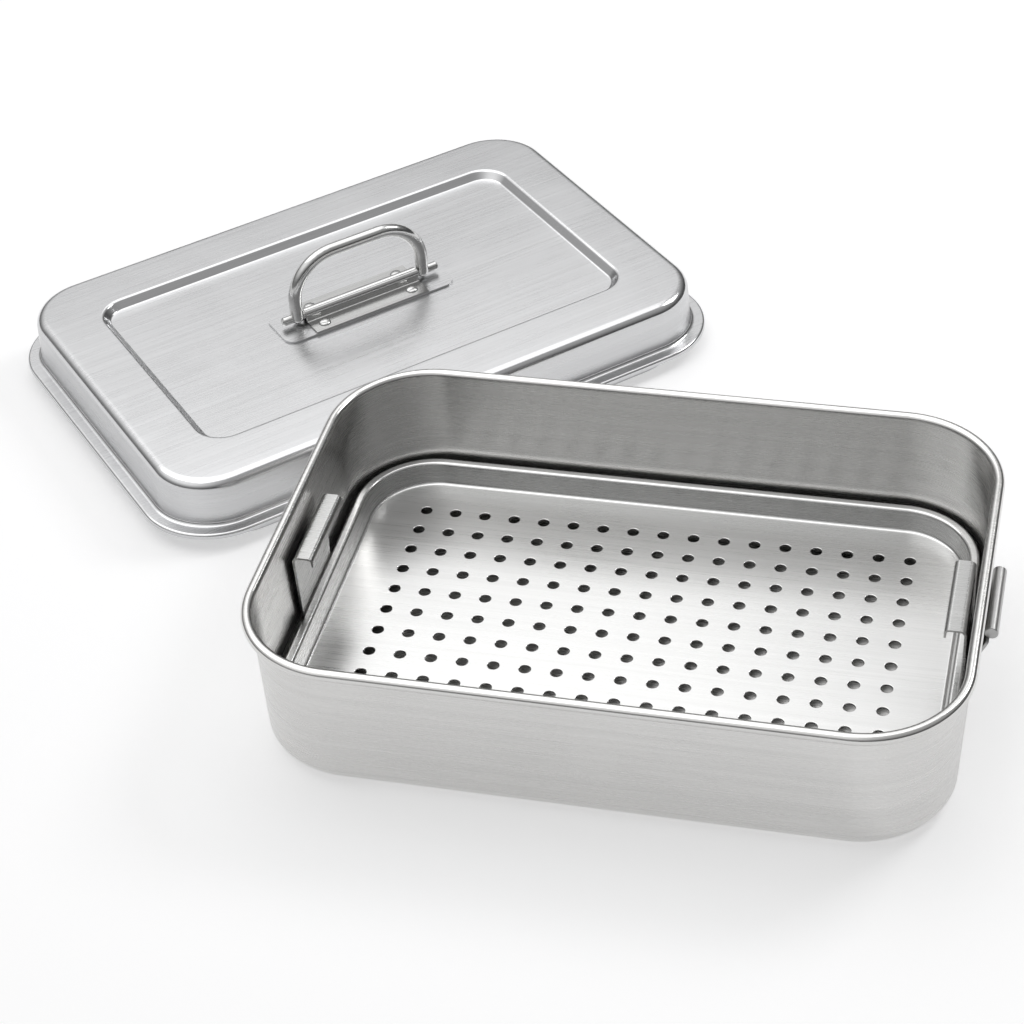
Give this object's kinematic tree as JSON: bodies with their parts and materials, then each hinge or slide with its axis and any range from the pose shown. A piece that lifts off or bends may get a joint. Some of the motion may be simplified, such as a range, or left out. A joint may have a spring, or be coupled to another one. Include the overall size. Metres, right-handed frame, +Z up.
{
  "type": "instrument tray",
  "caption": "Deep stainless steel instrument tray with a rolled rim and riveted end grips, a lift-out perforated insert, and a loose lid with a folding bail handle.",
  "frame": {"origin": "centre of the pan's flat underside, on the table", "axes": "+X along the pan's long side to the right, +Y towards the back, where the lid lies, +Z up"},
  "size_m": [0.5095, 0.4799, 0.0697],
  "materials": {
    "brushed_pan_steel": "drawn stainless sheet, brushed outside, brighter on the rolled rim",
    "matte_grip_steel": "stainless, matte",
    "rivet_steel": "stainless, as set",
    "satin_insert_steel": "stainless sheet, fine satin",
    "satin_lid_steel": "stainless sheet, satin top and polished bends",
    "polished_handle_steel": "stainless, polished"
  },
  "bodies": {
    "pan": {"tray_pan": "brushed_pan_steel", "left_grip_plate": "matte_grip_steel", "right_grip_plate": "matte_grip_steel", "left_grip_bar": "matte_grip_steel", "right_grip_bar": "matte_grip_steel", "left_grip_rivets": "rivet_steel", "right_grip_rivets": "rivet_steel"},
    "insert": {"perforated_insert": "satin_insert_steel", "insert_feet": "satin_insert_steel", "left_lifting_lug": "satin_insert_steel", "right_lifting_lug": "satin_insert_steel", "left_lug_rivets": "rivet_steel", "right_lug_rivets": "rivet_steel"},
    "lid": {"lid_shell": "satin_lid_steel", "lid_locating_ring": "satin_lid_steel", "lid_handle_base": "satin_lid_steel", "lid_handle_clip": "polished_handle_steel", "lid_handle_rivets": "rivet_steel"},
    "bail": {"lid_bail": "polished_handle_steel", "bail_pivot": "polished_handle_steel"}
  },
  "joints": [
    {"name": "insert_lift", "type": "slide", "parent": "pan", "child": "insert", "axis": [0, 0, 1], "range_m": [0, 0.09]},
    {"name": "lid_lift", "type": "slide", "parent": "pan", "child": "lid", "axis": [0, 0, 1], "range_m": [0, 0.12]},
    {"name": "bail_fold", "type": "hinge", "parent": "lid", "child": "bail", "pos_m": [-0.1814, 0.20466, 0.03487], "axis": [0.7193, 0.6947, 0], "range_deg": [-90, 90]}
  ]
}
